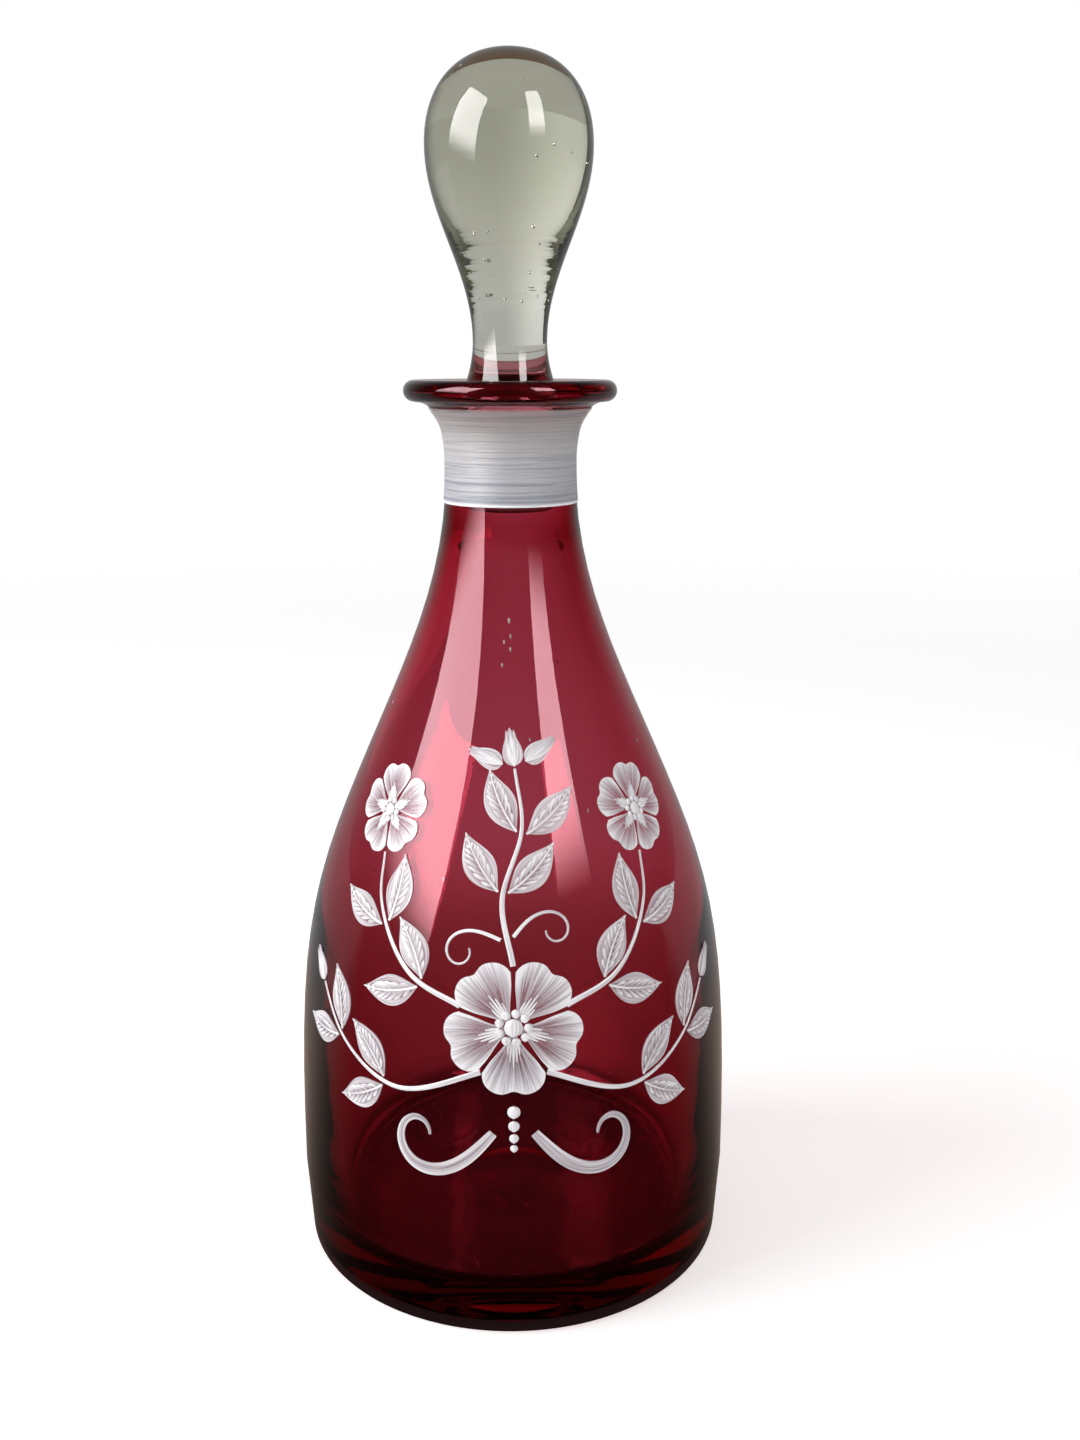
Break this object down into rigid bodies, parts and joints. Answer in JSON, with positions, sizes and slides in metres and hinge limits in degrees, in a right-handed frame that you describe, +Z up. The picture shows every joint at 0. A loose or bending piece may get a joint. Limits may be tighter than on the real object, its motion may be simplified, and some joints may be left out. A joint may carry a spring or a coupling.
{
  "type": "decanter",
  "caption": "Round ruby glass decanter with an S-curved shoulder, a rolled lip, an enamelled neck band and flower spray, and a solid clear drop stopper that lifts out.",
  "frame": {"origin": "middle of the foot, on the surface that it stands on", "axes": "+Z up along the bottle's axis, out of the mouth; -Y out of the painted front; +X to the right of it"},
  "size_m": [0.0964, 0.0968, 0.2543],
  "materials": {
    "clear_glass": "fire polished, with a faint grey green cast",
    "ruby_glass": "fire polished, deep cranberry ruby",
    "white_enamel": "brushed on and fired, satin gloss"
  },
  "bodies": {
    "bottle": {"clear_casing": "clear_glass", "ruby_lining": "ruby_glass", "neck_band": "white_enamel", "dot_1": "white_enamel", "dot_2": "white_enamel", "dot_3": "white_enamel", "dot_4": "white_enamel", "high_left_leaf_1_left": "white_enamel", "high_left_leaf_1_right": "white_enamel", "high_left_leaf_2_left": "white_enamel", "high_left_leaf_2_right": "white_enamel", "high_right_leaf_1_left": "white_enamel", "high_right_leaf_1_right": "white_enamel", "high_right_leaf_2_left": "white_enamel", "high_right_leaf_2_right": "white_enamel", "high_stem_left": "white_enamel", "high_stem_right": "white_enamel", "large_blossom": "white_enamel", "low_bud_left": "white_enamel", "low_bud_right": "white_enamel", "low_left_leaf_1_left": "white_enamel", "low_left_leaf_1_right": "white_enamel", "low_left_leaf_2_left": "white_enamel", "low_left_leaf_2_right": "white_enamel", "low_right_leaf_1_left": "white_enamel", "low_right_leaf_1_right": "white_enamel", "low_right_leaf_2_left": "white_enamel", "low_right_leaf_2_right": "white_enamel", "low_stem_left": "white_enamel", "low_stem_right": "white_enamel", "middle_leaf_1_left": "white_enamel", "middle_leaf_1_right": "white_enamel", "middle_leaf_2_left": "white_enamel", "middle_leaf_2_right": "white_enamel", "middle_stem": "white_enamel", "scroll_left": "white_enamel", "scroll_right": "white_enamel", "small_blossom_left": "white_enamel", "small_blossom_right": "white_enamel", "tendril_left": "white_enamel", "tendril_right": "white_enamel", "top_bud_left": "white_enamel", "top_bud_middle": "white_enamel", "top_bud_right": "white_enamel"},
    "stopper": {"stopper": "clear_glass"}
  },
  "joints": [
    {"name": "stopper_lift", "type": "slide", "parent": "bottle", "child": "stopper", "axis": [0, 0, 1], "range_m": [0, 0.045]}
  ]
}
